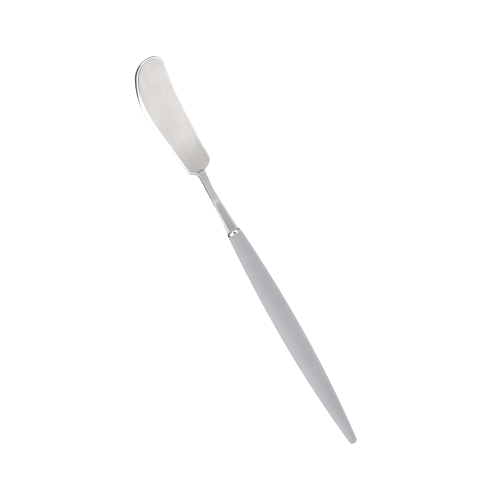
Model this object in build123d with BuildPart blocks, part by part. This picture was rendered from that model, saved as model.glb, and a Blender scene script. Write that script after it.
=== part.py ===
from build123d import *

import os
from math import acos, atan2, cos, degrees, hypot, radians, sin

# Table spreader: a forged steel head (blade, slim neck and hidden tang in one piece), a
# polished ring collar pressed on the root of the tang, and a moulded round handle glued
# over the tang.  All sizes are in millimetres.
#
# Knife coordinates: +X runs along the handle's axis towards the blade's tip, with X = 0 at
# the joint between collar and handle.  +Y points to the spreading edge (the belly) and +Z
# is square to the blade's flat.  The knife is then laid on a table: "lay" pitches it until
# the blade's tip and the handle's belly both touch Z = 0.

# ---- driving dimensions -------------------------------------------------------------
handle_length = 93.2
handle_mouth_radius = 3.1
handle_belly_radius = 4.58
handle_belly_back = 41.0        # the thickest station, behind the joint
handle_end_radius = 1.75
mouth_round = 0.25

collar_length = 1.5
collar_radius = 2.92            # crest of the ring
collar_crest = 0.45             # station of the crest
collar_back_radius = 2.85
collar_front_radius = 2.55
collar_bore_radius = 1.7

blade_thickness = 1.5
rim_thickness = 0.6             # the edge left standing between the two bevels
rim_round = 0.15                # how far the rim's corners are eased
root_bevel = 0.6                # bevel width round the shoulders
edge_bevel = 1.5                # bevel width along the belly and the tip
spine_bevel = 0.4               # bevel width along the spine

# The belly runs straight from its shoulder, then turns through three arcs to the tip.
belly_slope = 8.1               # degrees, towards the belly side
belly_line_end = (47.2, 6.8)
crest_radius = 78.0
shoulder_arc_radius = 29.0
shoulder_arc_turn = 28.0
tip_radius = 9.4
tip_turn = 74.0
corner_radius = 4.0             # between the tip and the spine
corner_tighten = 0.25           # how much smaller that radius is on the blade's flats
spine_flare = 7.4               # degrees, the spine's slope near the tip
spine_knee = (52.0, -7.15)      # from here to the root the spine bends parallel to the axis
spine_heel = (36.0, -6.5)

stem_foot = 22.5                # the blade's plate runs on this far inside the neck
stem_foot_half_width = 1.0
belly_stem = (25.7, 1.3)        # where the belly's flare leaves the neck
belly_flare_radius = 3.2
belly_flare_turn = 70.0         # degrees that the flare turns before its shoulder
belly_shoulder_radius = 1.2
spine_stem = (26.3, -1.95)      # where the spine's flare leaves the neck
spine_flare_radius = 2.0
spine_flare_turn = 62.0
spine_shoulder_radius = 3.4
spine_shoulder_run = 1.8        # straight stretch between flare and shoulder

tang_length = 60.0
tang_root_radius = 1.45
tang_end_radius = 1.05
tang_grooves = 4
groove_depth = 0.35
groove_length = 3.0

socket_length = 64.0
socket_mouth_radius = 1.95
socket_end_radius = 1.5
socket_tip_radius = 0.5

# Neck cross-sections: station, sideways shift, width, thickness and corner radius.  Well
# rounded at the collar, waisted and flatter in the middle, a little to the spine side where
# it meets the blade, with a blunt nose that sinks into the blade.
neck_sections = [
    (collar_length, 0.0, 4.8, 3.9, 1.7),
    (5.0, 0.0, 4.3, 3.5, 1.4),
    (9.0, 0.0, 3.85, 3.15, 1.1),
    (13.5, 0.0, 3.4, 2.85, 0.9),
    (17.5, 0.0, 3.05, 2.45, 0.75),
    (20.5, -0.05, 3.0, 2.4, 0.65),
    (24.0, -0.3, 3.25, 2.4, 0.65),
    (26.6, -0.4, 3.4, 2.3, 0.65),
    (27.9, -0.35, 2.9, 1.85, 0.6),
    (28.7, -0.3, 1.7, 1.2, 0.4),
]

flat_height = blade_thickness / 2
rim_height = rim_thickness / 2

# ---- how far the blade reaches ------------------------------------------------------
belly_angle = radians(belly_slope)
arc_angle = radians(shoulder_arc_turn)
end_angle = arc_angle + radians(tip_turn)
tip_station = (belly_line_end[0] + crest_radius * sin(belly_angle)
               + shoulder_arc_radius * sin(arc_angle) + tip_radius * (1 - sin(arc_angle)))
belly_reach = belly_line_end[1] + crest_radius * (1 - cos(belly_angle))
spine_reach = (belly_reach - shoulder_arc_radius * (1 - cos(arc_angle))
               - tip_radius * (cos(arc_angle) - cos(end_angle))
               - corner_radius * (1 + cos(end_angle)))

# ---- how the knife lies on the table ------------------------------------------------
# Underneath, the handle's front half is one long arc.  The knife rests on that arc and on
# the tip end of the blade's lower flat, so the table is their common tangent.
belly_rise = handle_belly_radius - handle_mouth_radius
front_arc_radius = (handle_belly_back**2 + belly_rise**2) / (2 * belly_rise)
arc_height = front_arc_radius - handle_belly_radius
touch_drop = arc_height + flat_height
touch_run = tip_station - edge_bevel + handle_belly_back
pitch = atan2(touch_run, touch_drop) - acos(front_arc_radius / hypot(touch_run, touch_drop))
axis_height = front_arc_radius - arc_height * cos(pitch) - handle_belly_back * sin(pitch)

# The origin is the middle of the knife's footprint, on the table.
butt_reach = (handle_length - handle_end_radius) * cos(pitch) + handle_end_radius
middle_x = (tip_station * cos(pitch) - butt_reach) / 2
middle_y = (belly_reach + spine_reach) / 2
lay = Location((-middle_x, -middle_y, axis_height), (0, degrees(pitch), 0))
knife_axis = Axis.X.located(lay)


def laid(plane):
    """A plane of the knife's own coordinates, as it lies on the table."""
    return Plane(lay * plane.location)


def revolved_profile(points):
    """Closes a line of (station, radius) points on the knife's axis into a face."""
    with BuildSketch(laid(Plane.XZ)) as profile:
        with BuildLine():
            Polyline((points[0][0], 0), *points, (points[-1][0], 0), close=True)
        make_face()
    return profile.sketch


def socket_profile():
    """The room inside the handle: a tapered blind hole with a coned end."""
    return revolved_profile([
        (0, socket_mouth_radius),
        (-socket_length + socket_end_radius, socket_end_radius),
        (-socket_length, socket_tip_radius),
    ])


def tang_profile():
    """A tapered rod through collar and socket, turned with grooves that key the glue."""
    points = [(collar_length, collar_bore_radius), (0, collar_bore_radius)]
    points.append((0, tang_root_radius))
    groove_spacing = tang_length / (tang_grooves + 1)
    taper = (tang_root_radius - tang_end_radius) / tang_length
    for i in range(1, tang_grooves + 1):
        front = i * groove_spacing - groove_length / 2
        back = front + groove_length
        front_radius = tang_root_radius - taper * front
        back_radius = tang_root_radius - taper * back
        points += [
            (-front, front_radius),
            (-front - groove_depth, front_radius - groove_depth),
            (-back + groove_depth, back_radius - groove_depth),
            (-back, back_radius),
        ]
    points += [
        (-tang_length + tang_end_radius / 2, tang_end_radius),
        (-tang_length, tang_end_radius / 2),
    ]
    return revolved_profile(points)


def heading(angle):
    """A unit direction in the knife's plan, in degrees from +X towards the belly."""
    return (cos(radians(angle)), sin(radians(angle)))


def blade_outline(height, root, edge, back):
    """The blade's plan at a height, drawn in by "root" round the shoulders, by "edge" along
    the belly and the tip and by "back" along the spine.  Two of them bound a bevel."""
    with BuildSketch(laid(Plane.XY.offset(height))) as plan:
        with BuildLine():
            belly_side = Line((stem_foot, stem_foot_half_width - root),
                              (belly_stem[0], belly_stem[1] - root))
            belly_flare = JernArc(belly_side @ 1, heading(0), belly_flare_radius + root,
                                  belly_flare_turn)
            belly_shoulder = JernArc(belly_flare @ 1, heading(belly_flare_turn),
                                     belly_shoulder_radius - root,
                                     belly_slope - belly_flare_turn)
            inward = heading(belly_slope - 90)
            crest_start = (belly_line_end[0] + edge * inward[0],
                           belly_line_end[1] + edge * inward[1])
            Spline(belly_shoulder @ 1, crest_start,
                   tangents=(heading(belly_slope), heading(belly_slope)))
            crest = JernArc(crest_start, heading(belly_slope), crest_radius - edge,
                            -belly_slope)
            shoulder_arc = JernArc(crest @ 1, heading(0), shoulder_arc_radius - edge,
                                   -shoulder_arc_turn)
            tip = JernArc(shoulder_arc @ 1, heading(-shoulder_arc_turn), tip_radius - edge,
                          -tip_turn)
            tip_heading = -shoulder_arc_turn - tip_turn
            drawn_in = corner_tighten * edge / edge_bevel
            corner = JernArc(tip @ 1, heading(tip_heading), corner_radius - drawn_in,
                             -180 - spine_flare - tip_heading)

            spine_side = Line((stem_foot, root - stem_foot_half_width),
                              (spine_stem[0], spine_stem[1] + root))
            spine_flare_arc = JernArc(spine_side @ 1, heading(0),
                                      spine_flare_radius + root, -spine_flare_turn)
            spine_run = PolarLine(spine_flare_arc @ 1, spine_shoulder_run,
                                  -spine_flare_turn)
            spine_shoulder = JernArc(spine_run @ 1, heading(-spine_flare_turn),
                                     spine_shoulder_radius - root, spine_flare_turn)
            Spline(
                corner @ 1,
                (spine_knee[0], spine_knee[1] + back),
                (spine_heel[0], spine_heel[1] + back),
                spine_shoulder @ 1,
                tangents=(heading(180 - spine_flare), heading(180)),
            )
            Line(belly_side @ 0, spine_side @ 0)
        make_face()
    return plan.sketch


# ---- blade, neck and tang: one forging ----------------------------------------------
with BuildPart() as head:
    for height, root, edge, back in (
        (-flat_height, root_bevel, edge_bevel, spine_bevel),
        (-rim_height, rim_round, rim_round, rim_round),
        (-rim_height + rim_round, 0, 0, 0),
        (rim_height - rim_round, 0, 0, 0),
        (rim_height, rim_round, rim_round, rim_round),
        (flat_height, root_bevel, edge_bevel, spine_bevel),
    ):
        add(blade_outline(height, root, edge, back))
    loft(ruled=True, clean=False)
    for station, shift, width, thickness, corner in neck_sections:
        with BuildSketch(laid(Plane.YZ.offset(station))):
            with Locations((shift, 0)):
                RectangleRounded(width, thickness, corner)
    loft(clean=False)
    add(tang_profile())
    revolve(axis=knife_axis, clean=False)

# ---- collar: a polished ring between neck and handle --------------------------------
with BuildPart() as collar:
    with BuildSketch(laid(Plane.XZ)):
        with BuildLine():
            crown = ThreePointArc((0, collar_back_radius), (collar_crest, collar_radius),
                                  (collar_length, collar_front_radius))
            Polyline(crown @ 1, (collar_length, collar_bore_radius),
                     (0, collar_bore_radius), crown @ 0)
        make_face()
    revolve(axis=knife_axis)

# ---- handle: one moulding with a blind socket ---------------------------------------
rear_run = handle_length - handle_end_radius - handle_belly_back
rear_arc_radius = (
    (rear_run**2 + handle_belly_radius**2 - handle_end_radius**2)
    / (2 * (handle_belly_radius - handle_end_radius))
)
end_turn = atan2(rear_run, rear_arc_radius - handle_belly_radius)
end_centre = handle_length - handle_end_radius
end_start = (-end_centre - handle_end_radius * sin(end_turn), handle_end_radius * cos(end_turn))
with BuildPart() as handle:
    with BuildSketch(laid(Plane.XZ)):
        with BuildLine():
            belly = (-handle_belly_back, handle_belly_radius)
            front = TangentArc(belly, (0, handle_mouth_radius), tangent=(1, 0))
            rear = TangentArc(belly, end_start, tangent=(-1, 0))
            TangentArc(rear @ 1, (-handle_length, 0), tangent=rear % 1)
            Polyline((-handle_length, 0), (0, 0), front @ 1)
        make_face()
    revolve(axis=knife_axis)
    mouth_edge = handle.edges().filter_by(GeomType.CIRCLE).sort_by(knife_axis)[-1]
    fillet(mouth_edge, mouth_round)
    add(socket_profile())
    revolve(axis=knife_axis, mode=Mode.SUBTRACT)

# ---- glue: fills the socket around the tang -----------------------------------------
with BuildPart() as glue:
    add(socket_profile())
    revolve(axis=knife_axis)
    add(tang_profile())
    revolve(axis=knife_axis, mode=Mode.SUBTRACT)

# ---- export -------------------------------------------------------------------------
os.makedirs("parts", exist_ok=True)
for part, name in (
    (head, "blade_neck_tang"),
    (collar, "collar"),
    (handle, "handle"),
    (glue, "tang_adhesive"),
):
    part.part.label = name
    export_step(part.part, f"parts/{name}.step")
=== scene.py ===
"""A table spreader lying on a pale table, seen from straight above in soft light.

The CAD model gives the frame.  Every piece that shows is rebuilt here with finer shapes:
the forged steel head (blade, neck and tang), the polished collar and the moulded handle.

Sizes are in millimetres in the knife's own coordinates until "to_world" lays them on the
table in metres: +X runs along the handle's axis towards the tip of the blade from the joint
between collar and handle, +Y points to the spreading edge (the belly), +Z is square to the
blade's flat.
"""

from math import acos, atan2, cos, hypot, pi, radians, sin

import bmesh
import bpy
import numpy as np
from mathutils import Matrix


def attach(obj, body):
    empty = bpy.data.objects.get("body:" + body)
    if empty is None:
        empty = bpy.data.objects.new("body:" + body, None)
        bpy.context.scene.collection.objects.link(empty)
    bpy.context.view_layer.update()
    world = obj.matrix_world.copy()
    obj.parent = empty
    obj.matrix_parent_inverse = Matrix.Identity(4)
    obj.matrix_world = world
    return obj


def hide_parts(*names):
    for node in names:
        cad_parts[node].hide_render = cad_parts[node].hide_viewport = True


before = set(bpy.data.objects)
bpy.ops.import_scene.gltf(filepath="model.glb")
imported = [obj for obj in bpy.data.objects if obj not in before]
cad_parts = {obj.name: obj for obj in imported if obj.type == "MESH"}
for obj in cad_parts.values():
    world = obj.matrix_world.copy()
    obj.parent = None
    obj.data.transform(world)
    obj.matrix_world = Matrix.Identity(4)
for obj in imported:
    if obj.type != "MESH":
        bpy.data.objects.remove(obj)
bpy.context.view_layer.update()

# ---- sizes shared with the CAD model -------------------------------------------------
handle_length = 93.2
handle_mouth_radius = 3.1
handle_belly_radius = 4.58
handle_belly_back = 41.0
handle_end_radius = 1.75
mouth_round = 0.25

collar_length = 1.5
collar_radius = 2.92
collar_crest = 0.45
collar_front_radius = 2.55
collar_bore_radius = 1.7

blade_thickness = 1.5
edge_bevel = 1.5
root_bevel = 0.6
spine_bevel = 0.4

belly_slope = 8.1
belly_line_end = (47.2, 6.8)
crest_radius = 78.0
shoulder_arc_radius = 29.0
shoulder_arc_turn = 28.0
tip_radius = 9.4
tip_turn = 74.0
corner_radius = 4.0
spine_flare = 7.4
spine_knee = (52.0, -7.15)
spine_heel = (36.0, -6.5)

stem_foot = 22.5
stem_foot_half_width = 1.0
belly_stem = (25.7, 1.3)
belly_flare_radius = 3.2
belly_flare_turn = 70.0
belly_shoulder_radius = 1.2
spine_stem = (26.3, -1.95)
spine_flare_radius = 2.0
spine_flare_turn = 62.0
spine_shoulder_radius = 3.4
spine_shoulder_run = 1.8

tang_length = 60.0
tang_root_radius = 1.45
tang_end_radius = 1.05
tang_grooves = 4
groove_depth = 0.35
groove_length = 3.0
socket_length = 64.0
socket_mouth_radius = 1.95
socket_end_radius = 1.5
socket_tip_radius = 0.5

flat_height = blade_thickness / 2

# ---- how the knife lies on the table -------------------------------------------------
belly_angle = radians(belly_slope)
arc_angle = radians(shoulder_arc_turn)
end_angle = arc_angle + radians(tip_turn)
tip_station = (belly_line_end[0] + crest_radius * sin(belly_angle)
               + shoulder_arc_radius * sin(arc_angle) + tip_radius * (1 - sin(arc_angle)))
belly_reach = belly_line_end[1] + crest_radius * (1 - cos(belly_angle))
spine_reach = (belly_reach - shoulder_arc_radius * (1 - cos(arc_angle))
               - tip_radius * (cos(arc_angle) - cos(end_angle))
               - corner_radius * (1 + cos(end_angle)))
belly_rise = handle_belly_radius - handle_mouth_radius
front_arc_radius = (handle_belly_back**2 + belly_rise**2) / (2 * belly_rise)
arc_height = front_arc_radius - handle_belly_radius
touch_drop = arc_height + flat_height
touch_run = tip_station - edge_bevel + handle_belly_back
pitch = atan2(touch_run, touch_drop) - acos(front_arc_radius / hypot(touch_run, touch_drop))
axis_height = front_arc_radius - arc_height * cos(pitch) - handle_belly_back * sin(pitch)
butt_reach = (handle_length - handle_end_radius) * cos(pitch) + handle_end_radius
middle_x = (tip_station * cos(pitch) - butt_reach) / 2
middle_y = (belly_reach + spine_reach) / 2


def to_world(points):
    """Knife coordinates in millimetres to the table's frame in metres."""
    p = np.asarray(points, float)
    x = p[..., 0] * cos(pitch) + p[..., 2] * sin(pitch) - middle_x
    y = p[..., 1] - middle_y
    z = p[..., 2] * cos(pitch) - p[..., 0] * sin(pitch) + axis_height
    return np.stack([x, y, z], -1) / 1000


# ---- small helpers -------------------------------------------------------------------
def smooth(t):
    """Eases 0 to 1."""
    t = np.clip(t, 0, 1)
    return t * t * (3 - 2 * t)


def make_object(name, points, faces, finishes, materials, smooth_limit=35.0):
    """A mesh object from knife points; finishes gives each face's material number."""
    mesh = bpy.data.meshes.new(name)
    mesh.from_pydata(to_world(points).tolist(), [], faces)
    for material in materials:
        mesh.materials.append(material)
    mesh.polygons.foreach_set("material_index", np.asarray(finishes, np.int32))
    obj = bpy.data.objects.new(name, mesh)
    bpy.context.scene.collection.objects.link(obj)
    tidy_normals(obj, smooth_limit)
    return obj


def tidy_normals(obj, limit):
    """Points every face outwards and shades smoothly except over edges sharper than limit."""
    work = bmesh.new()
    work.from_mesh(obj.data)
    bmesh.ops.recalc_face_normals(work, faces=work.faces)
    for face in work.faces:
        face.smooth = True
    for edge in work.edges:
        edge.smooth = not edge.is_manifold or edge.calc_face_angle(0) < radians(limit)
    work.to_mesh(obj.data)
    work.free()
    obj.data.update()


def curve_through(stations, values, at):
    """A smooth curve through given values that doesn't overshoot (monotone cubic)."""
    x, y = np.asarray(stations, float), np.asarray(values, float)
    step, rise = np.diff(x), np.diff(y) / np.diff(x)
    slope = np.zeros(len(x))
    for i in range(1, len(x) - 1):
        if rise[i - 1] * rise[i] > 0:
            before, after = 2 * step[i] + step[i - 1], step[i] + 2 * step[i - 1]
            slope[i] = (before + after) / (before / rise[i - 1] + after / rise[i])
    slope[0], slope[-1] = rise[0], rise[-1]
    at = np.clip(at, x[0], x[-1])
    k = np.clip(np.searchsorted(x, at) - 1, 0, len(x) - 2)
    h = step[k]
    t = (at - x[k]) / h
    return (y[k] * (1 + 2 * t) * (1 - t) ** 2 + slope[k] * h * t * (1 - t) ** 2
            + y[k + 1] * t * t * (3 - 2 * t) + slope[k + 1] * h * t * t * (t - 1))


def tube(rings, close_start=True, close_end=True):
    """Points and faces of a lofted tube: rings is an array (ring, around, 3)."""
    rows, around = rings.shape[:2]
    faces = []
    for r in range(rows - 1):
        for a in range(around):
            b = (a + 1) % around
            faces.append((r * around + a, r * around + b,
                          (r + 1) * around + b, (r + 1) * around + a))
    if close_start:
        faces.append(tuple(range(around - 1, -1, -1)))
    if close_end:
        faces.append(tuple((rows - 1) * around + a for a in range(around)))
    return rings.reshape(-1, 3), faces


def revolve(profile, around):
    """The rings of a solid of revolution about the knife's axis from a closed (x, radius)
    loop.
    """
    profile = np.asarray(profile, float)
    angle = np.arange(around) * 2 * pi / around
    rings = np.zeros((len(profile), around, 3))
    rings[:, :, 0] = profile[:, :1]
    rings[:, :, 1] = profile[:, 1:] * np.cos(angle)
    rings[:, :, 2] = profile[:, 1:] * np.sin(angle)
    return rings


# ---- blade outline -------------------------------------------------------------------
class Pen:
    """Draws lines and arcs, keeps each point's heading and marks where each piece ends."""

    def __init__(self, start, heading):
        self.points = [start]
        self.headings = [heading]
        self.marks = []

    def mark(self):
        """Remembers the number of the latest point."""
        self.marks.append(len(self.points) - 1)

    def arc(self, radius, turn, step=1.5):
        x, y = self.points[-1]
        start = radians(self.headings[-1])
        side = 1 if turn > 0 else -1
        cx, cy = x - side * radius * sin(start), y + side * radius * cos(start)
        count = max(8, int(abs(turn) / step))
        for i in range(1, count + 1):
            a = start + radians(turn) * i / count
            self.points.append((cx + side * radius * sin(a), cy - side * radius * cos(a)))
            self.headings.append(self.headings[-1] + turn / count)
        self.mark()

    def line(self, end, heading=None, count=40):
        x, y = self.points[-1]
        for i in range(1, count + 1):
            t = i / count
            self.points.append((x + (end[0] - x) * t, y + (end[1] - y) * t))
            self.headings.append(self.headings[-1] if heading is None else heading)
        self.mark()


def spline_through(knots, start_heading, end_heading, count):
    """Points and headings of a smooth cubic spline with given headings at its ends."""
    p = np.array(knots, float)
    reach = np.hypot(*np.diff(p, axis=0).T)
    at = np.concatenate([[0], np.cumsum(reach)])
    n = len(p)
    system, target = np.zeros((n, n)), np.zeros((n, 2))
    system[0, 0] = system[-1, -1] = 1
    target[0] = cos(radians(start_heading)), sin(radians(start_heading))
    target[-1] = cos(radians(end_heading)), sin(radians(end_heading))
    for i in range(1, n - 1):
        system[i, i - 1:i + 2] = (reach[i], 2 * (reach[i] + reach[i - 1]), reach[i - 1])
        target[i] = 3 * (reach[i] * (p[i] - p[i - 1]) / reach[i - 1]
                         + reach[i - 1] * (p[i + 1] - p[i]) / reach[i])
    slope = np.linalg.solve(system, target)
    where = np.linspace(0, at[-1], count)
    k = np.clip(np.searchsorted(at, where) - 1, 0, n - 2)
    h = reach[k][:, None]
    t = ((where - at[k]) / reach[k])[:, None]
    points = (p[k] * (1 + 2 * t) * (1 - t) ** 2 + slope[k] * h * t * (1 - t) ** 2
              + p[k + 1] * t * t * (3 - 2 * t) + slope[k + 1] * h * t * t * (t - 1))
    along_x, along_y = np.gradient(points, axis=0).T
    return points, np.degrees(np.arctan2(along_y, along_x))


belly = Pen((stem_foot, stem_foot_half_width), 0.0)
belly.line(belly_stem, 0.0, 12)
belly.arc(belly_flare_radius, belly_flare_turn)
belly.arc(belly_shoulder_radius, belly_slope - belly_flare_turn)
belly.line(belly_line_end, belly_slope)
belly.arc(crest_radius, -belly_slope, 0.2)
belly.arc(shoulder_arc_radius, -shoulder_arc_turn, 0.7)
belly.arc(tip_radius, -tip_turn)
belly.arc(corner_radius, -180 - spine_flare + shoulder_arc_turn + tip_turn)

spine = Pen((stem_foot, -stem_foot_half_width), 0.0)
spine.line(spine_stem, 0.0, 12)
spine.arc(spine_flare_radius, -spine_flare_turn)
run = radians(-spine_flare_turn)
spine.line((spine.points[-1][0] + spine_shoulder_run * cos(run),
            spine.points[-1][1] + spine_shoulder_run * sin(run)), None, 6)
spine.arc(spine_shoulder_radius, spine_flare_turn)
spine_points, spine_headings = spline_through(
    [spine.points[-1], spine_heel, spine_knee, belly.points[-1]], 0.0, -spine_flare, 150)
spine.points += [tuple(p) for p in spine_points[1:]]
spine.headings += list(spine_headings[1:])
for station in (spine_heel, spine_knee):
    near = np.hypot(*(np.array(spine.points) - station).T).argmin()
    spine.marks.append(int(near))
spine.mark()

outline_points = np.array(belly.points + spine.points[-2::-1], float)
outline_headings = np.unwrap(np.radians(
    np.array(belly.headings + [h - 180 for h in spine.headings[-2::-1]], float)))
marks = belly.marks + [len(belly.points) + len(spine.points) - 2 - m
                       for m in reversed(spine.marks[:-1])]
lengths = np.concatenate([[0], np.cumsum(np.hypot(*np.diff(outline_points, axis=0).T))])
mark_at = lengths[marks]

outline_count = 760             # points round the blade
along = np.linspace(0, lengths[-1], outline_count)
plan = np.stack([np.interp(along, lengths, outline_points[:, k]) for k in (0, 1)], -1)
turned = np.interp(along, lengths, outline_headings)
outward = np.stack([-np.sin(turned), np.cos(turned)], -1)

# the bevel's width and the easing of its outer edge, at each mark along the outline:
# belly stem, flare end, shoulder end, straight end, crest end, shoulder arc end, tip end,
# corner end, spine knee, spine heel, shoulder end, shoulder start, flare end, spine stem
bevel_width = np.interp(along, mark_at, [
    0.5, 0.55, 0.6, 1.35, 1.45, 1.55, 1.0,
    0.75, spine_bevel, spine_bevel, 0.5, root_bevel, root_bevel, 0.5])
edge_ease = np.interp(along, mark_at, [
    0.3, 0.45, 0.35, 0.35, 0.45, 1.35, 0.7,
    0.2, 0.12, 0.12, 0.15, 0.15, 0.15, 0.15])
# where the bevel would meet the outline if it ran on, and how far the easing leans inwards
bevel_foot = np.interp(along, mark_at, [
    0.30, 0.30, 0.28, 0.27, 0.30, 0.56, 0.50,
    0.6, 0.6, 0.6, 0.35, 0.27, 0.27, 0.27])
ease_lean = np.interp(along, mark_at, [
    0.2, 0.25, 0.25, 0.25, 0.3, 0.6, 0.45,
    0.0, 0.0, 0.0, 0.0, 0.0, 0.0, 0.0])
half_window = 15                # points on each side that a value is averaged with


def evened(values):
    """The same values along the outline without their corners."""
    window = np.hanning(2 * half_window + 1)
    return np.convolve(np.pad(values, half_window, "edge"), window / window.sum(), "valid")


bevel_width, edge_ease = evened(bevel_width), evened(edge_ease)
bevel_foot, ease_lean = evened(bevel_foot), evened(ease_lean)

# ---- materials -----------------------------------------------------------------------
from_left = (0.4964, 0.8681, 0.0)


class Shader:
    """A material's node tree with short ways to add and join nodes."""

    def __init__(self, name):
        self.material = bpy.data.materials.new(name)
        self.material.use_nodes = True
        self.tree = self.material.node_tree
        self.principled = self.tree.nodes["Principled BSDF"]
        self.place = self.add("ShaderNodeTexCoord").outputs["Object"]

    def add(self, kind, **settings):
        node = self.tree.nodes.new(kind)
        for key, value in settings.items():
            setattr(node, key, value)
        return node

    def join(self, source, target):
        self.tree.links.new(source, target)

    def stretched(self, scale):
        """Object coordinates, scaled differently along each axis."""
        mapping = self.add("ShaderNodeMapping")
        mapping.inputs["Scale"].default_value = scale
        self.join(self.place, mapping.inputs["Vector"])
        return mapping.outputs["Vector"]

    def noise(self, vector, scale, detail=4.0, roughness=0.55, distortion=0.0):
        node = self.add("ShaderNodeTexNoise")
        node.inputs["Scale"].default_value = scale
        node.inputs["Detail"].default_value = detail
        node.inputs["Roughness"].default_value = roughness
        node.inputs["Distortion"].default_value = distortion
        self.join(vector, node.inputs["Vector"])
        return node.outputs["Fac"]

    def spread(self, value, low, high, out_low, out_high):
        node = self.add("ShaderNodeMapRange", interpolation_type="SMOOTHSTEP")
        for key, number in (("From Min", low), ("From Max", high),
                            ("To Min", out_low), ("To Max", out_high)):
            node.inputs[key].default_value = number
        self.join(value, node.inputs["Value"])
        return node.outputs["Result"]

    def math(self, operation, first, second):
        node = self.add("ShaderNodeMath", operation=operation)
        for socket, value in zip(node.inputs, (first, second)):
            if isinstance(value, (int, float)):
                socket.default_value = value
            else:
                self.join(value, socket)
        return node.outputs["Value"]

    def ramp(self, value, stops):
        node = self.add("ShaderNodeValToRGB")
        elements = node.color_ramp.elements
        for index, (position, colour) in enumerate(stops):
            element = elements[index] if index < 2 else elements.new(position)
            element.position = position
            element.color = (*colour, 1.0)
        self.join(value, node.inputs["Fac"])
        return node.outputs["Color"]

    def bump(self, height, strength, distance, under=None):
        node = self.add("ShaderNodeBump")
        node.inputs["Strength"].default_value = strength
        node.inputs["Distance"].default_value = distance
        self.join(height, node.inputs["Height"])
        if under is not None:
            self.join(under, node.inputs["Normal"])
        return node.outputs["Normal"]

    def along(self, low, high, out_low, out_high):
        """A value that eases from one to another along the knife, in metres of the frame."""
        split = self.add("ShaderNodeSeparateXYZ")
        self.join(self.place, split.inputs["Vector"])
        return self.spread(split.outputs["X"], low, high, out_low, out_high)

    def steel(self, colours, rough, grain, grain_strength, mottle_strength, painted_shade_along, polish):
        """Steel: grain lines along the knife, soft mottling and slow changes of gloss.

        fade paints shade: it darkens the colour gradually along the knife, and polish smooths
        it; each is (start, end, factor at the start, factor at the end)."""
        lines = self.noise(self.stretched((14, 1900, 1900)), 1.0, 5.0, 0.65)
        wide_lines = self.noise(self.stretched((9, 420, 420)), 1.0, 3.0, 0.5)
        mottle = self.noise(self.place, 260.0, 3.0, 0.5, 0.6)
        patches = self.noise(self.place, 55.0, 2.0, 0.5)
        shade = self.math("ADD", self.math("MULTIPLY", lines, 0.45),
                          self.math("ADD", self.math("MULTIPLY", wide_lines, 0.3),
                                    self.math("MULTIPLY", mottle, 0.25)))
        tone_and_painted_shade = self.add("ShaderNodeVectorMath", operation="SCALE")
        self.join(self.ramp(shade, [(0.36, colours[0]), (0.64, colours[1])]),
                  tone_and_painted_shade.inputs["Vector"])
        # the grain's colour is darkened along the knife here: painted shade
        self.join(self.along(*painted_shade_along), tone_and_painted_shade.inputs["Scale"])
        self.join(tone_and_painted_shade.outputs["Vector"], self.principled.inputs["Base Color"])
        gloss = self.math("ADD", self.math("MULTIPLY", patches, 0.6),
                          self.math("MULTIPLY", lines, 0.4))
        self.join(self.math("MULTIPLY", self.spread(gloss, 0.35, 0.65, *rough),
                            self.along(*polish)), self.principled.inputs["Roughness"])
        under = self.bump(mottle, mottle_strength, 0.00002)
        self.join(self.bump(lines, grain_strength, grain, under),
                  self.principled.inputs["Normal"])
        self.principled.inputs["Metallic"].default_value = 1.0
        return self.material


# the blade's face and polished edge, darker towards the blade's root with painted shade, the
# neck, darker towards the collar with painted shade, the bevel that turns satin and darkens
# with painted shade towards the tip, and a dark steel that paints the shade in the crease
# where the neck meets the blade
brushed = Shader("brushed_blade_steel").steel(
    ((0.855, 0.83, 0.81), (0.96, 0.935, 0.915)), (0.46, 0.56), 0.000006, 0.35, 0.15,
    (0.036, 0.052, 0.86, 1.0), (0.036, 0.052, 0.85, 1.0))
bright = Shader("polished_edge_steel").steel(
    ((0.86, 0.86, 0.85), (0.92, 0.92, 0.915)), (0.10, 0.17), 0.000003, 0.1, 0.05,
    (0.036, 0.052, 0.97, 1.0), (0.036, 0.052, 0.9, 1.0))
satin = Shader("satin_neck_steel").steel(
    ((0.80, 0.78, 0.77), (0.90, 0.88, 0.87)), (0.34, 0.42), 0.000004, 0.25, 0.1,
    (0.010, 0.026, 0.98, 1.0), (0.018, 0.026, 0.92, 1.0))
bevelled = Shader("ground_bevel_steel").steel(
    ((0.86, 0.86, 0.85), (0.92, 0.92, 0.915)), (0.10, 0.17), 0.000003, 0.1, 0.05,
    (0.069, 0.0775, 1.0, 0.52), (0.069, 0.0775, 1.0, 3.2))
# a dark steel whose colour is painted shade for the crease where the nose meets the blade
nose_shade_paint = Shader("steel_painted_nose_shade").steel(
    ((0.26, 0.25, 0.24), (0.38, 0.37, 0.36)), (0.38, 0.50), 0.000004, 0.25, 0.2,
    (0.010, 0.026, 1.0, 1.0), (0.018, 0.026, 1.0, 1.0))


def mirror_steel():
    """The collar: mirror polished, with faint turning lines and haze."""
    shader = Shader("mirror_collar_steel")
    turned_lines = shader.noise(shader.stretched((5200, 30, 30)), 1.0, 3.0, 0.5)
    haze = shader.noise(shader.place, 900.0, 4.0, 0.6)
    shader.join(shader.ramp(haze, [(0.35, (0.84, 0.84, 0.85)), (0.65, (0.93, 0.93, 0.93))]),
                shader.principled.inputs["Base Color"])
    shader.join(shader.spread(haze, 0.3, 0.7, 0.02, 0.06),
                shader.principled.inputs["Roughness"])
    shader.join(shader.bump(turned_lines, 0.1, 0.000003),
                shader.principled.inputs["Normal"])
    shader.principled.inputs["Metallic"].default_value = 1.0
    return shader.material


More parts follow.
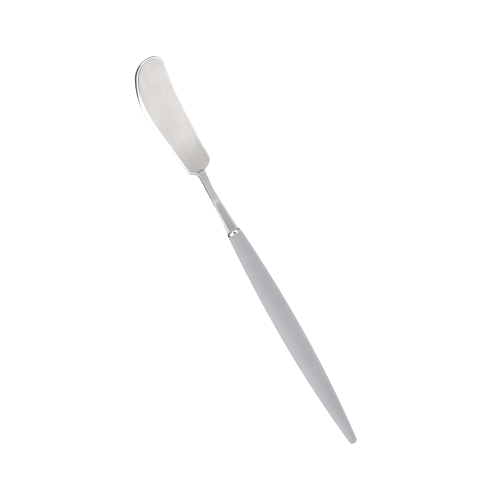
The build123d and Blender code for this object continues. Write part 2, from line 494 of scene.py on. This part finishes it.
def satin_resin():
    """The handle: grey moulded resin with a satin skin."""
    shader = Shader("satin_grey_resin")
    cloud = shader.noise(shader.place, 70.0, 3.0, 0.5)
    speck = shader.noise(shader.place, 2600.0, 3.0, 0.6)
    skin = shader.noise(shader.place, 1100.0, 4.0, 0.55)
    shade = shader.math("ADD", shader.math("MULTIPLY", cloud, 0.6),
                        shader.math("MULTIPLY", speck, 0.4))
    shader.join(
        shader.ramp(shade, [(0.35, (0.456, 0.451, 0.478)), (0.65, (0.492, 0.487, 0.514))]),
        shader.principled.inputs["Base Color"])
    shader.join(shader.spread(skin, 0.3, 0.7, 0.44, 0.56),
                shader.principled.inputs["Roughness"])
    shader.join(shader.bump(skin, 0.12, 0.00001, shader.bump(cloud, 0.1, 0.00004)),
                shader.principled.inputs["Normal"])
    shader.principled.inputs["Specular IOR Level"].default_value = 0.5
    return shader.material


def cured_glue():
    """The glue in the socket: amber, uneven, glossy."""
    shader = Shader("cured_glue")
    cloud = shader.noise(shader.place, 300.0, 4.0, 0.6)
    shader.join(
        shader.ramp(cloud, [(0.3, (0.42, 0.36, 0.24)), (0.7, (0.60, 0.54, 0.40))]),
        shader.principled.inputs["Base Color"])
    shader.join(shader.spread(cloud, 0.3, 0.7, 0.2, 0.4),
                shader.principled.inputs["Roughness"])
    shader.join(shader.bump(cloud, 0.2, 0.00005), shader.principled.inputs["Normal"])
    return shader.material


# ---- head: blade ---------------------------------------------------------------------
# material numbers of the head; ROLL becomes RIM round the tip and FACE elsewhere
FACE, RIM, NECK, BEVEL, NOSE_SHADE, ROLL = range(6)
ease_steps, bevel_steps, roll_steps = 10, 5, 4
rim_band = 0.02                 # half the height of the upright band along the rim
flat_inset = 0.3                # from the roll-off to the first ring inside the flat
spine_side = -5.8               # the bevel is fully polished beyond this Y
crest_station = belly_line_end[0] + crest_radius * sin(belly_angle)


# the roll-off between bevel and flat widens round the tip and is polished there
roll_least, roll_most = 0.04, 0.20
tip_line_start, tip_line_end = mark_at[4] + 7.5, mark_at[6] + 2.5
tip_line = smooth((along - tip_line_start) / 6.0) * smooth((tip_line_end - along) / 5.0)


def blade_half(width):
    """Rings from the middle of the rim up to the flat, for bevels of the given widths: a
    short upright band, an eased edge, a flat bevel, a narrow roll-off and the flat."""
    slope = (flat_height - bevel_foot) / width
    low = np.full(outline_count, rim_band)
    rings = [(np.zeros(outline_count), low * 0.5), (np.zeros(outline_count), low)]
    bend = edge_ease * ease_lean
    bend_height = bevel_foot + slope * bend
    for i in range(1, ease_steps + 1):
        t = i / ease_steps
        rings.append((2 * t * (1 - t) * bend + t * t * edge_ease,
                      low * (1 - t) ** 2 + 2 * t * (1 - t) * bend_height
                      + t * t * (bevel_foot + slope * edge_ease)))
    roll = roll_least + (roll_most - roll_least) * tip_line
    for i in range(1, bevel_steps + 1):
        d = edge_ease + (width - roll - edge_ease) * i / bevel_steps
        rings.append((d, bevel_foot + slope * d))
    for i in range(1, roll_steps + 1):
        t = i / roll_steps
        d = width - roll + 2 * roll * t
        rings.append((d, flat_height - slope * roll * (1 - t) ** 2))
    clear_of_stem = smooth((plan[:, 0] - belly_stem[0] - 0.5) / 3.0)
    rings.append((width + roll + flat_inset * clear_of_stem,
                  np.full(outline_count, flat_height)))
    half = np.zeros((len(rings), outline_count, 3))
    for k, (d, z) in enumerate(rings):
        half[k, :, :2] = plan - outward * d[:, None]
        half[k, :, 2] = z
    return half


def blade_mesh():
    """The blade; its lower bevel is as wide at the tip as along the edge, so that the flat
    touches the table where the CAD blade does."""
    top = blade_half(bevel_width)
    near_tip = smooth((plan[:, 0] - crest_station) / 6.0) * smooth((plan[:, 1] + 7.5) / 2.5)
    bottom = blade_half(bevel_width + (edge_bevel - bevel_width) * near_tip)
    bottom[:, :, 2] *= -1
    points, faces = tube(np.concatenate([bottom[::-1], top]))
    ring_finish = ([RIM] * (2 + ease_steps) + [BEVEL] * bevel_steps + [ROLL] * roll_steps
                   + [FACE])
    per_band = ring_finish[:0:-1] + [RIM] + ring_finish[1:]
    finishes = np.repeat(per_band, outline_count).reshape(len(per_band), outline_count)
    finishes = np.where(finishes == ROLL, np.where(tip_line > 0, RIM, FACE), finishes)
    finishes = np.where((finishes == BEVEL) & (plan[:, 1] < spine_side), RIM, finishes)
    return points, faces, finishes.ravel().tolist() + [FACE, FACE]


# ---- head: neck and tang -------------------------------------------------------------
# neck sections: station, sideways shift, half width, half thickness, corner radius, crown
neck_sections = np.array([
    (1.5, 0.00, 2.40, 1.92, 0.90, 0.03),
    (3.0, 0.00, 2.28, 1.82, 0.85, 0.03),
    (5.0, 0.00, 2.15, 1.72, 0.78, 0.03),
    (9.0, 0.00, 1.93, 1.59, 0.66, 0.02),
    (12.0, 0.00, 1.78, 1.50, 0.58, 0.02),
    (13.6, 0.00, 1.68, 1.46, 0.60, 0.02),
    (14.3, 0.00, 1.65, 1.40, 0.55, 0.02),
    (15.8, 0.00, 1.59, 1.22, 0.35, 0.02),
    (18.5, -0.01, 1.52, 1.20, 0.20, 0.02),
    (20.5, -0.05, 1.50, 1.19, 0.18, 0.02),
    (24.0, -0.30, 1.62, 1.19, 0.18, 0.02),
    (26.4, -0.40, 1.70, 1.18, 0.20, 0.02),
    (27.0, -0.42, 1.70, 1.18, 0.22, 0.03),
    (27.4, -0.43, 1.66, 1.16, 0.25, 0.04),
    (27.7, -0.45, 1.60, 1.08, 0.30, 0.05),
    (28.05, -0.50, 1.42, 0.92, 0.34, 0.04),
    (28.4, -0.50, 1.12, 0.68, 0.30, 0.03),
    (28.5, -0.50, 0.55, 0.30, 0.10, 0.01),
])
side_draft = 0.5                # the neck's top is this much narrower on each side
draft_start, draft_run = 12.0, 6.0
nose_start, nose_end = 26.4, 28.5
nose_shade_start = 27.55            # the nose's foot takes painted shade from here on
side_steps, corner_steps, top_steps = 5, 10, 9


def neck_ring(station, shift, half_width, half_thickness, corner, crown, draft):
    """One cross-section: a rounded box whose sides lean in and whose top is crowned."""
    corner = min(corner, 0.95 * half_width, 0.95 * half_thickness)
    turn = np.linspace(0, pi / 2, corner_steps + 1)
    quarter = [(half_width, z) for z in
               np.linspace(0, half_thickness - corner, side_steps, endpoint=False)]
    quarter += [(half_width - corner * (1 - cos(a)), half_thickness - corner * (1 - sin(a)))
                for a in turn]
    quarter += [(y, half_thickness)
                for y in np.linspace(half_width - corner, 0, top_steps + 1)[1:]]
    quarter = np.array(quarter)
    lean = quarter[:, 1] / half_thickness
    quarter[:, 0] *= 1 - draft * lean / half_width
    quarter[:, 1] -= crown * lean * (quarter[:, 0] / half_width) ** 2
    mirrored = quarter[-2::-1] * (-1, 1)
    upper = np.concatenate([quarter, mirrored])
    lower = upper[-2:0:-1] * (1, -1)
    loop = np.concatenate([upper, lower])
    return np.stack([np.full(len(loop), station), loop[:, 0] + shift, loop[:, 1]], -1)


def neck_mesh():
    """Neck and tang as one tube, from the tang's end to the nose that sinks in the blade."""
    root = neck_ring(*neck_sections[0], 0.0)
    angles = np.arctan2(root[:, 2], root[:, 1])
    taper = (tang_root_radius - tang_end_radius) / tang_length
    stops = [(-tang_length, tang_end_radius / 2),
             (-tang_length + tang_end_radius / 2, tang_end_radius)]
    spacing = tang_length / (tang_grooves + 1)
    for i in range(tang_grooves, 0, -1):
        front = i * spacing - groove_length / 2
        back = front + groove_length
        front_radius = tang_root_radius - taper * front
        back_radius = tang_root_radius - taper * back
        stops += [
            (-back, back_radius),
            (-back + groove_depth, back_radius - groove_depth),
            (-front - groove_depth, front_radius - groove_depth),
            (-front, front_radius),
        ]
    stops += [(0, tang_root_radius), (0, collar_bore_radius),
              (collar_length, collar_bore_radius)]
    rings = [
        np.stack([np.full(len(angles), float(x)), radius * np.cos(angles),
                  radius * np.sin(angles)], -1)
        for x, radius in stops]
    stations = np.concatenate([
        np.linspace(collar_length, nose_start, 110),
        np.linspace(nose_start + 0.1, nose_end, 34)])
    columns = [curve_through(neck_sections[:, 0], neck_sections[:, k], stations)
               for k in range(1, 6)]
    drafts = (side_draft * smooth((stations - draft_start) / draft_run)
              * smooth(nose_end - stations))
    rings += [neck_ring(*row) for row in zip(stations, *columns, drafts)]
    points, faces = tube(np.array(rings))
    station_of = points[:, 0]
    # the faces at the nose's foot take the dark steel that paints shade there
    finishes = [NOSE_SHADE if min(station_of[i] for i in face) > nose_shade_start else NECK
                for face in faces]
    return points, faces, finishes


blade_points, blade_faces, blade_finish = blade_mesh()
neck_points, neck_faces, neck_finish = neck_mesh()
head = make_object(
    "spreader_head",
    np.concatenate([blade_points, neck_points]),
    blade_faces + [tuple(i + len(blade_points) for i in f) for f in neck_faces],
    blade_finish + neck_finish,
    [brushed, bright, satin, bevelled, nose_shade_paint],
)
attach(head, "root")
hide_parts("blade_neck_tang")


# ---- collar --------------------------------------------------------------------------
def arc_through(start, middle, end, count):
    """Points of the circle through three points."""
    (ax, ay), (bx, by), (cx, cy) = start, middle, end
    d = 2 * (ax * (by - cy) + bx * (cy - ay) + cx * (ay - by))
    ux = ((ax**2 + ay**2) * (by - cy) + (bx**2 + by**2) * (cy - ay)
          + (cx**2 + cy**2) * (ay - by)) / d
    uy = ((ax**2 + ay**2) * (cx - bx) + (bx**2 + by**2) * (ax - cx)
          + (cx**2 + cy**2) * (bx - ax)) / d
    radius = hypot(ax - ux, ay - uy)
    first, last = atan2(ay - uy, ax - ux), atan2(cy - uy, cx - ux)
    t = np.linspace(first, last, count)
    return np.stack([ux + radius * np.cos(t), uy + radius * np.sin(t)], -1)


band_end = 0.95                 # the ring is nearly straight this far, then rounds over
crown_line = np.concatenate([
    arc_through((0.0, collar_radius - 0.004), (collar_crest, collar_radius),
                (band_end, collar_radius - 0.006), 8),
    arc_through((band_end + 0.05, collar_radius - 0.02), (1.3, 2.75),
                (collar_length, collar_front_radius), 12)])
lip = 0.08                      # the ring's front edge is eased by this much
collar_loop = np.concatenate([
    [(0.0, collar_radius - 0.12), (0.02, collar_radius - 0.06)],
    crown_line[1:-1],
    [(collar_length - 0.3 * lip, collar_front_radius - 0.1 * lip),
     (collar_length, collar_front_radius - lip),
     (collar_length, collar_bore_radius), (0.0, collar_bore_radius)]])
collar_around = 128
collar_rings = revolve(collar_loop, collar_around)
collar_points, collar_faces = tube(
    np.concatenate([collar_rings, collar_rings[:1]]), False, False)
collar = make_object("collar_ring", collar_points, collar_faces, [0] * len(collar_faces),
                     [mirror_steel()], 40.0)
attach(collar, "root")
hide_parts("collar")

# ---- handle --------------------------------------------------------------------------
rear_run = handle_length - handle_end_radius - handle_belly_back
rear_arc_radius = ((rear_run**2 + handle_belly_radius**2 - handle_end_radius**2)
                   / (2 * (handle_belly_radius - handle_end_radius)))
end_centre = handle_length - handle_end_radius


handle_around = 144
pole_radius = 0.004             # the loops end this close to the axis


def handle_outside():
    """The handle's outside from its rounded mouth to its butt."""
    loop = []
    for a in np.linspace(0, pi / 2, 9):
        loop.append((-mouth_round * (1 - sin(a)),
                     handle_mouth_radius - mouth_round * (1 - cos(a))))
    loop = loop[::-1]
    for x in np.linspace(mouth_round, handle_belly_back, 90)[1:]:
        ahead = handle_belly_back - x
        loop.append((-x, handle_belly_radius - front_arc_radius
                     + (front_arc_radius**2 - ahead**2) ** 0.5))
    start = np.arcsin(rear_run / (rear_arc_radius - handle_end_radius))
    rear_end = handle_belly_back + rear_arc_radius * sin(start)
    for x in np.linspace(handle_belly_back, rear_end, 110)[1:]:
        behind = x - handle_belly_back
        loop.append((-x, handle_belly_radius - rear_arc_radius
                     + (rear_arc_radius**2 - behind**2) ** 0.5))
    for a in np.linspace(start, pi / 2, 18)[1:]:
        loop.append((-end_centre - handle_end_radius * sin(a),
                     max(handle_end_radius * cos(a), pole_radius)))
    return np.array(loop)


outside = handle_outside()
socket = np.array([
    (-socket_length, pole_radius), (-socket_length, socket_tip_radius),
    (-socket_length + socket_end_radius, socket_end_radius), (0.0, socket_mouth_radius)])
handle_rings = revolve(np.concatenate([outside, socket]), handle_around)
skin_rows = len(outside)
outer_points, outer_faces = tube(handle_rings[:skin_rows], False, True)
inner_points, inner_faces = tube(handle_rings[skin_rows:], True, False)
outer_count = len(outer_points)
socket_mouth = outer_count + (len(socket) - 1) * handle_around
mouth_faces = [
    (a, (a + 1) % handle_around,
     socket_mouth + (a + 1) % handle_around, socket_mouth + a)
    for a in range(handle_around)]
handle_faces = (outer_faces + [tuple(i + outer_count for i in f) for f in inner_faces]
                + mouth_faces)
handle = make_object("handle_moulding", np.concatenate([outer_points, inner_points]),
                     handle_faces, [0] * len(handle_faces), [satin_resin()])
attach(handle, "root")
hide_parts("handle")

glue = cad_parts["tang_adhesive"]
glue.data.materials.clear()
glue.data.materials.append(cured_glue())


# ---- table ---------------------------------------------------------------------------
def table_material():
    shader = Shader("pale_table")
    weave = shader.noise(shader.place, 40.0, 3.0, 0.5)
    shader.join(shader.ramp(weave, [(0.3, (0.93, 0.93, 0.93)), (0.7, (0.96, 0.96, 0.96))]),
                shader.principled.inputs["Base Color"])
    shader.join(shader.spread(weave, 0.3, 0.7, 0.7, 0.8),
                shader.principled.inputs["Roughness"])
    shader.principled.inputs["Emission Color"].default_value = (1, 1, 1, 1)
    shader.principled.inputs["Emission Strength"].default_value = 0.85
    return shader.material


half_table = 1.5
table_mesh = bpy.data.meshes.new("table_top")
table_mesh.from_pydata(
    [(-half_table, -half_table, 0), (half_table, -half_table, 0),
     (half_table, half_table, 0), (-half_table, half_table, 0)], [], [(0, 1, 2, 3)])
table_mesh.materials.append(table_material())
table_top = bpy.data.objects.new("table_top", table_mesh)
bpy.context.scene.collection.objects.link(table_top)
table_top.visible_glossy = False

# ---- light: a white tent with a dark opening overhead --------------------------------
world = bpy.data.worlds.new("studio")
bpy.context.scene.world = world
world.use_nodes = True
sky = world.node_tree
background = sky.nodes["Background"]
direction = sky.nodes.new("ShaderNodeTexCoord").outputs["Generated"]


def sky_node(kind, **settings):
    node = sky.nodes.new(kind)
    for key, value in settings.items():
        setattr(node, key, value)
    return node


def sky_dot(vector):
    """How much a direction of the sky points along a vector."""
    node = sky_node("ShaderNodeVectorMath", operation="DOT_PRODUCT")
    sky.links.new(direction, node.inputs[0])
    node.inputs[1].default_value = vector
    return node.outputs["Value"]


def sky_spread(value, low, high, out_low, out_high):
    node = sky_node("ShaderNodeMapRange", interpolation_type="SMOOTHSTEP")
    for key, number in (("From Min", low), ("From Max", high),
                        ("To Min", out_low), ("To Max", out_high)):
        node.inputs[key].default_value = number
    sky.links.new(value, node.inputs["Value"])
    return node.outputs["Result"]


def sky_product(*factors):
    result = factors[0]
    for factor in factors[1:]:
        node = sky_node("ShaderNodeMath", operation="MULTIPLY")
        sky.links.new(result, node.inputs[0])
        sky.links.new(factor, node.inputs[1])
        result = node.outputs["Value"]
    return result


def sky_blend(share, first, second):
    """First where share is 0, second where it is 1."""
    node = sky_node("ShaderNodeMix", data_type="FLOAT")
    for socket, value in zip((0, 2, 3), (share, first, second)):
        if isinstance(value, (int, float)):
            node.inputs[socket].default_value = value
        else:
            sky.links.new(value, node.inputs[socket])
    return node.outputs[0]


def sky_bearing(vector):
    """How much a direction's compass bearing agrees with a level vector."""
    level = sky_node("ShaderNodeVectorMath", operation="MULTIPLY")
    sky.links.new(direction, level.inputs[0])
    level.inputs[1].default_value = (1, 1, 0)
    unit = sky_node("ShaderNodeVectorMath", operation="NORMALIZE")
    sky.links.new(level.outputs["Vector"], unit.inputs[0])
    node = sky_node("ShaderNodeVectorMath", operation="DOT_PRODUCT")
    sky.links.new(unit.outputs["Vector"], node.inputs[0])
    node.inputs[1].default_value = vector
    return node.outputs["Value"]


# The opening overhead is dark, so flats facing up look grey.  The walls are bright from
# opening to horizon and brightest on the left; below the horizon they are dark but for the
# spine's side.  A tall dark card stands beyond the round side of the tip, and a bright one
# hangs high on the right.
up = sky_dot((0, 0, 1))
overhead = sky_dot((0.06, -0.05, 0.997))
opening = sky_spread(overhead, cos(radians(21)), cos(radians(14)), 1.0, 0.04)
leftwards = sky_spread(sky_dot(from_left), -1.0, 1.0, 0.64, 1.68)
towards_tip = sky_spread(sky_bearing((0.94, 0.34, 0)), 0.6, 0.9, 1.0, 0.8)
low_side = sky_spread(sky_bearing((-0.3, -0.954, 0)), 0.72, 0.93, 0.06, 0.9)
tall_card = sky_spread(sky_bearing((0.695, 0.719, 0)), 0.84, 0.95, 0.0, 1.0)
low_edge = sky_spread(up, -0.02, 0.20, 0.0, 1.0)
high_edge = sky_spread(up, 0.48, 0.70, 0.0, 1.0)
right_card = sky_spread(sky_dot((0.0, -0.64, 0.77)), cos(radians(17)), cos(radians(9)),
                        1.0, 1.6)
above = sky_blend(tall_card, low_edge, high_edge)
walls = sky_blend(above, low_side, 1.0)
sky.links.new(sky_product(opening, walls, leftwards, towards_tip, right_card),
              background.inputs["Strength"])
background.inputs["Color"].default_value = (1, 1, 1, 1)

# ---- camera: straight above, the blade up and to the left ----------------------------
camera_data = bpy.data.cameras.new("camera")
camera_data.sensor_width = 36.0
camera_data.lens = 135.0
view_width = 0.19109            # metres across the picture at the knife's axis
camera = bpy.data.objects.new("camera", camera_data)
camera.location = (
    0.00222, -0.00058, view_width * camera_data.lens / camera_data.sensor_width
    + axis_height / 1000)
camera.rotation_euler = (0, 0, radians(-119.76))
bpy.context.scene.collection.objects.link(camera)
bpy.context.scene.camera = camera
bpy.context.scene.view_settings.view_transform = "Standard"
